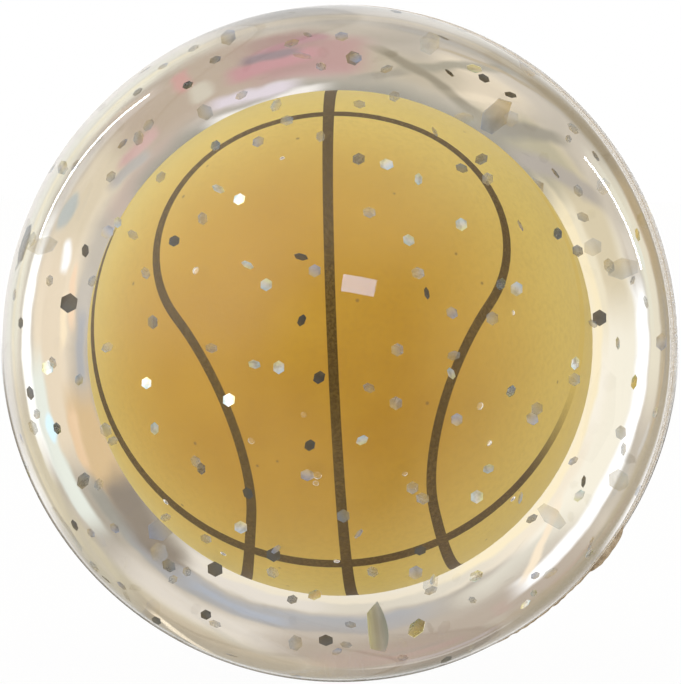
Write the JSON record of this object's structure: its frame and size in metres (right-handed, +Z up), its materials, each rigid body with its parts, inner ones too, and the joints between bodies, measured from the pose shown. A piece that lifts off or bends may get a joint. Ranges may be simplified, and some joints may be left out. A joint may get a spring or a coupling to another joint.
{
  "type": "bouncy ball",
  "caption": "Clear rubber bouncy ball with glitter flakes cast in it and a small basketball-patterned core at its middle.",
  "frame": {"origin": "centre of the ball", "axes": "+Z up; the parting plane of the two clear halves is the XZ plane, and the front half, which the core's pattern faces, lies towards -Y"},
  "size_m": [0.0448, 0.045, 0.0448],
  "materials": {
    "clear_rubber": "clear glossy rubber, ground matt on a narrow belt round the parting line",
    "core_rubber": "smooth opaque ochre-yellow rubber",
    "line_ink": "dark brown-black ink, slightly speckled",
    "glitter_film": "silver holographic glitter film"
  },
  "bodies": {
    "root": {"front_clear_half": "clear_rubber", "rear_clear_half": "clear_rubber", "core_ball": "core_rubber", "centre_line": "line_ink", "ring_line": "line_ink", "seam_line": "line_ink", "front_glitter": "glitter_film", "rear_glitter": "glitter_film"}
  },
  "joints": []
}
